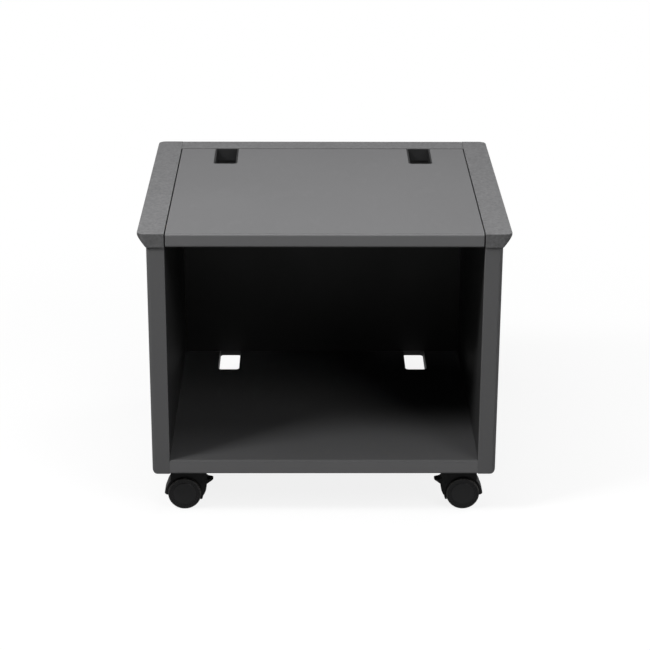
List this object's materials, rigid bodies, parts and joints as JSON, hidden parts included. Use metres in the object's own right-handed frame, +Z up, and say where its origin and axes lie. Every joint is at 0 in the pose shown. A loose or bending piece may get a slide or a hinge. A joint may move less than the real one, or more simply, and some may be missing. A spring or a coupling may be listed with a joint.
{
  "type": "mobile printer stand",
  "caption": "Low open-fronted printer stand of dark grey board with bevelled top rails, rear cable cut-outs and braked twin-wheel casters.",
  "frame": {"origin": "on the floor under the middle of the stand", "axes": "+X to the right seen from the front, +Y to the back, +Z up"},
  "size_m": [0.54, 0.485, 0.447],
  "materials": {
    "board": "dark grey satin foil on particle board",
    "rail": "dark grey finely textured foil",
    "edge_band": "dark grey satin edging",
    "zinc": "die-cast zinc",
    "plated_steel": "bright zinc plated",
    "cover_plastic": "black moulded",
    "dowel_wood": "bare beech",
    "hood_plastic": "black moulded nylon",
    "wheel_plastic": "black moulded nylon, satin tread"
  },
  "bodies": {
    "cabinet": {"top_panel": "board", "bottom_panel": "board", "left_side_panel": "board", "right_side_panel": "board", "back_panel": "board", "left_top_rail": "rail", "right_top_rail": "rail", "rear_top_strip": "rail", "top_edge_band": "edge_band", "bottom_edge_band": "edge_band", "left_side_edge_band": "edge_band", "right_side_edge_band": "edge_band", "cable_grommets": "cover_plastic", "cam_locks": "zinc", "cam_bolts": "plated_steel", "cam_covers": "cover_plastic", "wood_dowels": "dowel_wood", "caster_screws": "plated_steel", "swivel_washers": "hood_plastic", "front_left_caster_plate": "plated_steel", "front_left_kingpin": "plated_steel", "front_right_caster_plate": "plated_steel", "front_right_kingpin": "plated_steel", "rear_left_caster_plate": "plated_steel", "rear_left_kingpin": "plated_steel", "rear_right_caster_plate": "plated_steel", "rear_right_kingpin": "plated_steel"},
    "front_left_swivel": {"front_left_caster_hood": "hood_plastic", "front_left_axle": "plated_steel", "front_left_lever_pin": "hood_plastic"},
    "front_left_front_wheel": {"front_left_front_wheel": "wheel_plastic"},
    "front_left_back_wheel": {"front_left_back_wheel": "wheel_plastic"},
    "front_left_brake_lever": {"front_left_brake_lever": "hood_plastic"},
    "front_right_swivel": {"front_right_caster_hood": "hood_plastic", "front_right_axle": "plated_steel", "front_right_lever_pin": "hood_plastic"},
    "front_right_front_wheel": {"front_right_front_wheel": "wheel_plastic"},
    "front_right_back_wheel": {"front_right_back_wheel": "wheel_plastic"},
    "front_right_brake_lever": {"front_right_brake_lever": "hood_plastic"},
    "rear_left_swivel": {"rear_left_caster_hood": "hood_plastic", "rear_left_axle": "plated_steel"},
    "rear_left_front_wheel": {"rear_left_front_wheel": "wheel_plastic"},
    "rear_left_back_wheel": {"rear_left_back_wheel": "wheel_plastic"},
    "rear_right_swivel": {"rear_right_caster_hood": "hood_plastic", "rear_right_axle": "plated_steel"},
    "rear_right_front_wheel": {"rear_right_front_wheel": "wheel_plastic"},
    "rear_right_back_wheel": {"rear_right_back_wheel": "wheel_plastic"}
  },
  "joints": [
    {"name": "front_left_swivel", "type": "hinge", "parent": "cabinet", "child": "front_left_swivel", "pos_m": [-0.197, -0.2005, 0.045], "axis": [0, 0, 1], "continuous": true},
    {"name": "front_left_front_wheel_roll", "type": "hinge", "parent": "front_left_swivel", "child": "front_left_front_wheel", "pos_m": [-0.211, -0.2143, 0.025], "axis": [0, 1, 0], "continuous": true},
    {"name": "front_left_back_wheel_roll", "type": "hinge", "parent": "front_left_swivel", "child": "front_left_back_wheel", "pos_m": [-0.211, -0.1867, 0.025], "axis": [0, 1, 0], "continuous": true},
    {"name": "front_left_brake", "type": "hinge", "parent": "front_left_swivel", "child": "front_left_brake_lever", "pos_m": [-0.1845, -0.2005, 0.043], "axis": [0, 1, 0], "range_deg": [0, 12]},
    {"name": "front_right_swivel", "type": "hinge", "parent": "cabinet", "child": "front_right_swivel", "pos_m": [0.197, -0.2005, 0.045], "axis": [0, 0, 1], "continuous": true},
    {"name": "front_right_front_wheel_roll", "type": "hinge", "parent": "front_right_swivel", "child": "front_right_front_wheel", "pos_m": [0.211, -0.2143, 0.025], "axis": [0, 1, 0], "continuous": true},
    {"name": "front_right_back_wheel_roll", "type": "hinge", "parent": "front_right_swivel", "child": "front_right_back_wheel", "pos_m": [0.211, -0.1867, 0.025], "axis": [0, 1, 0], "continuous": true},
    {"name": "front_right_brake", "type": "hinge", "parent": "front_right_swivel", "child": "front_right_brake_lever", "pos_m": [0.1845, -0.2005, 0.043], "axis": [0, -1, 0], "range_deg": [0, 12]},
    {"name": "rear_left_swivel", "type": "hinge", "parent": "cabinet", "child": "rear_left_swivel", "pos_m": [-0.197, 0.2005, 0.045], "axis": [0, 0, 1], "continuous": true},
    {"name": "rear_left_front_wheel_roll", "type": "hinge", "parent": "rear_left_swivel", "child": "rear_left_front_wheel", "pos_m": [-0.211, 0.1867, 0.025], "axis": [0, 1, 0], "continuous": true},
    {"name": "rear_left_back_wheel_roll", "type": "hinge", "parent": "rear_left_swivel", "child": "rear_left_back_wheel", "pos_m": [-0.211, 0.2143, 0.025], "axis": [0, 1, 0], "continuous": true},
    {"name": "rear_right_swivel", "type": "hinge", "parent": "cabinet", "child": "rear_right_swivel", "pos_m": [0.197, 0.2005, 0.045], "axis": [0, 0, 1], "continuous": true},
    {"name": "rear_right_front_wheel_roll", "type": "hinge", "parent": "rear_right_swivel", "child": "rear_right_front_wheel", "pos_m": [0.211, 0.1867, 0.025], "axis": [0, 1, 0], "continuous": true},
    {"name": "rear_right_back_wheel_roll", "type": "hinge", "parent": "rear_right_swivel", "child": "rear_right_back_wheel", "pos_m": [0.211, 0.2143, 0.025], "axis": [0, 1, 0], "continuous": true}
  ]
}
